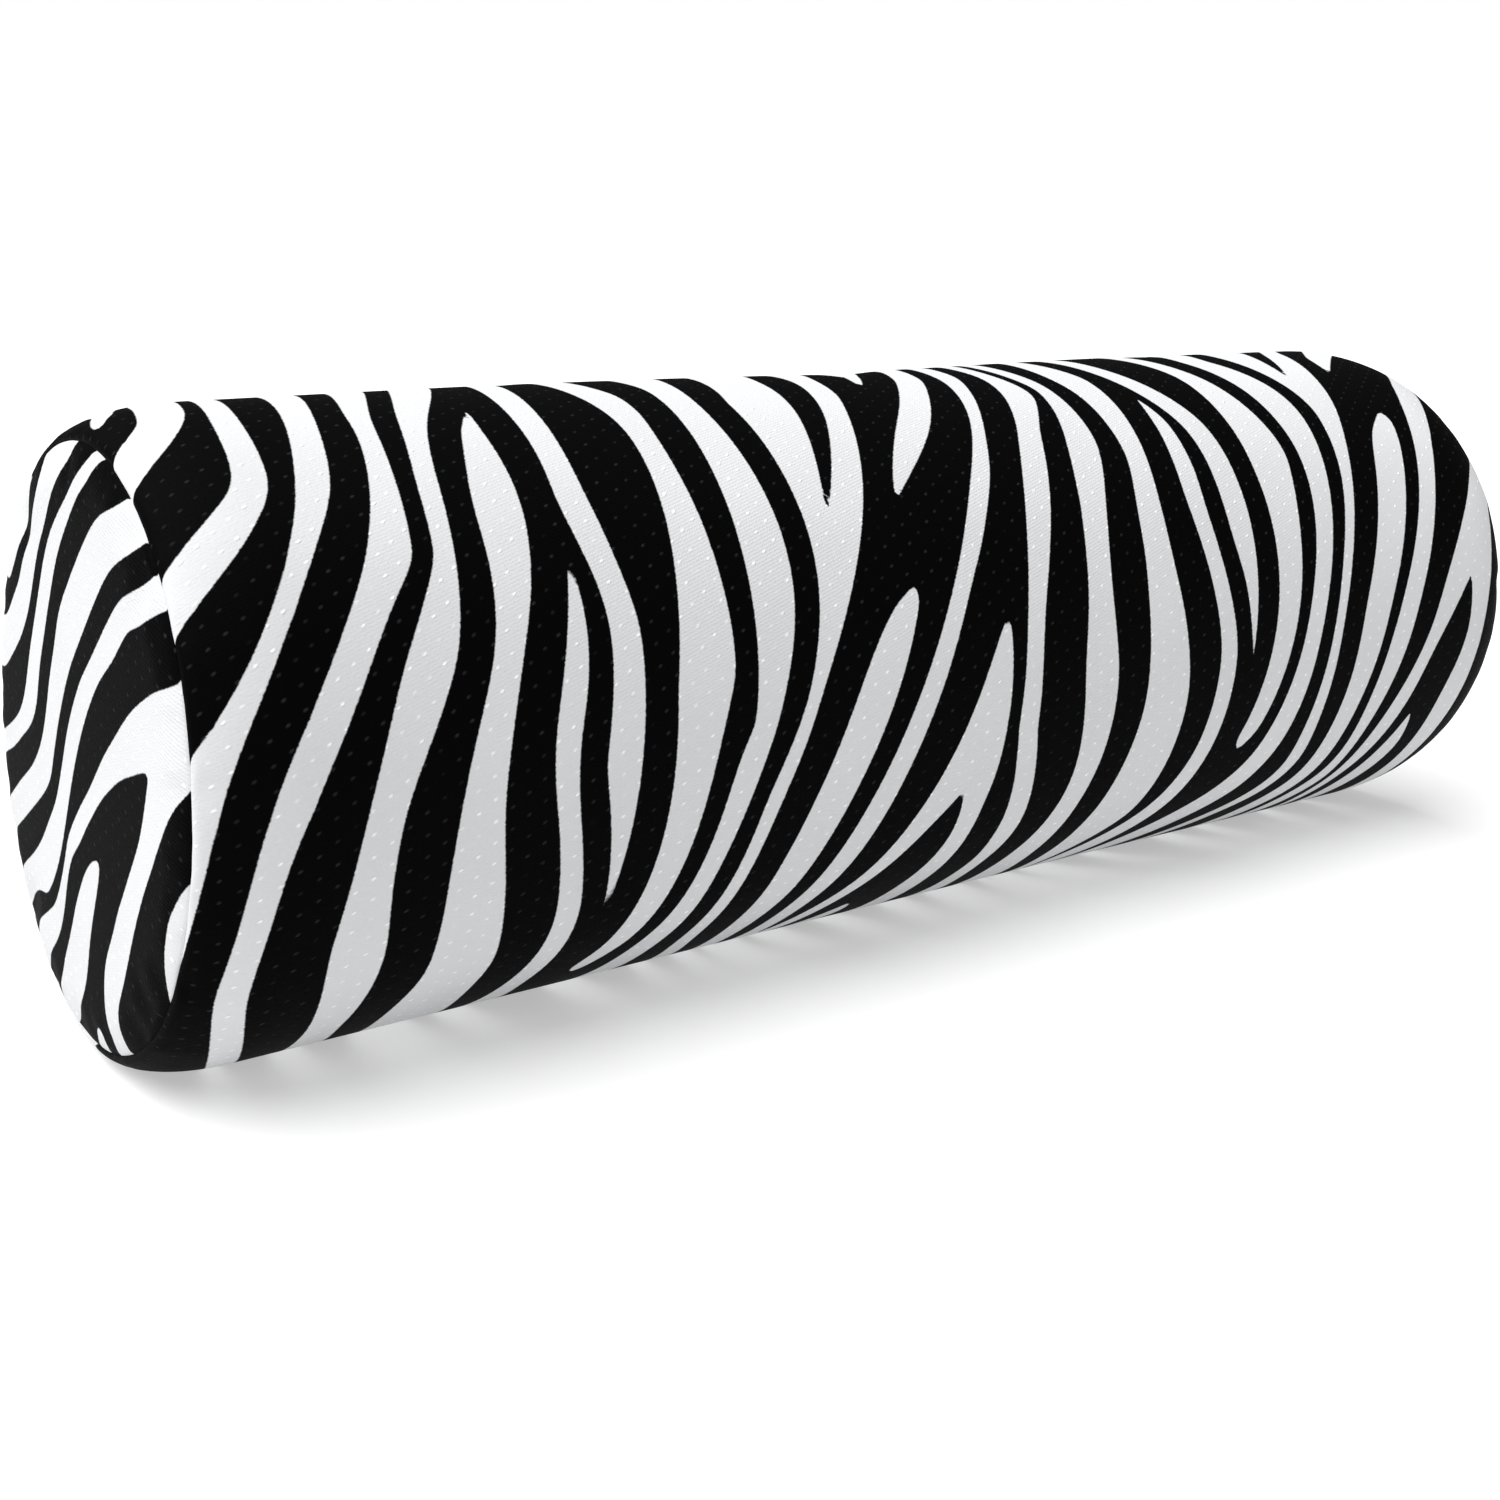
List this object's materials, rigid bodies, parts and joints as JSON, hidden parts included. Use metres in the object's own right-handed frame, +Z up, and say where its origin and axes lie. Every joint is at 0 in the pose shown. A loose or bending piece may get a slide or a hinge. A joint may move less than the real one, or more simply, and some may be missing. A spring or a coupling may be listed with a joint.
{
  "type": "bolster pillow",
  "caption": "Cylindrical foam bolster pillow in a zipped cover of black and white animal-stripe knit, with a sewn inner liner.",
  "frame": {"origin": "on the surface the pillow lies on, under the middle of the roll", "axes": "+X along the roll towards the end where the zip closes, -Y towards the front, +Z up; the zip is on the +Y side"},
  "size_m": [0.427, 0.15, 0.1475],
  "materials": {
    "printed_knit": "matt stretch knit with a black and white animal-stripe print",
    "liner_cloth": "plain white woven cotton",
    "foam": "open-cell polyurethane foam",
    "zip_tape": "black woven polyester",
    "zip_coil": "black nylon monofilament",
    "zip_metal": "black enamelled zinc casting",
    "thread": "black spun polyester thread"
  },
  "bodies": {
    "pillow": {"foam_core": "foam", "liner_body": "liner_cloth", "liner_end_left": "liner_cloth", "liner_end_right": "liner_cloth", "cover_body": "printed_knit", "cover_end_left": "printed_knit", "cover_end_right": "printed_knit", "end_seam_left": "thread", "end_seam_right": "thread", "zipper_tape_upper": "zip_tape", "zipper_tape_lower": "zip_tape", "zipper_coil_upper": "zip_coil", "zipper_coil_lower": "zip_coil", "zipper_top_stop_upper": "zip_metal", "zipper_top_stop_lower": "zip_metal", "zipper_bottom_stop": "zip_metal", "topstitch_upper": "thread", "topstitch_lower": "thread", "bar_tack_left": "thread", "bar_tack_right": "thread"},
    "slider": {"zipper_slider": "zip_metal"},
    "pull": {"zipper_pull": "zip_metal"}
  },
  "joints": [
    {"name": "zip_travel", "type": "slide", "parent": "pillow", "child": "slider", "axis": [-1, 0, 0], "range_m": [0, 0.294]},
    {"name": "pull_swing", "type": "hinge", "parent": "slider", "child": "pull", "pos_m": [0.147, 0.06921, 0.1093], "axis": [0, 0.4695, -0.8829], "range_deg": [0, 180]}
  ]
}
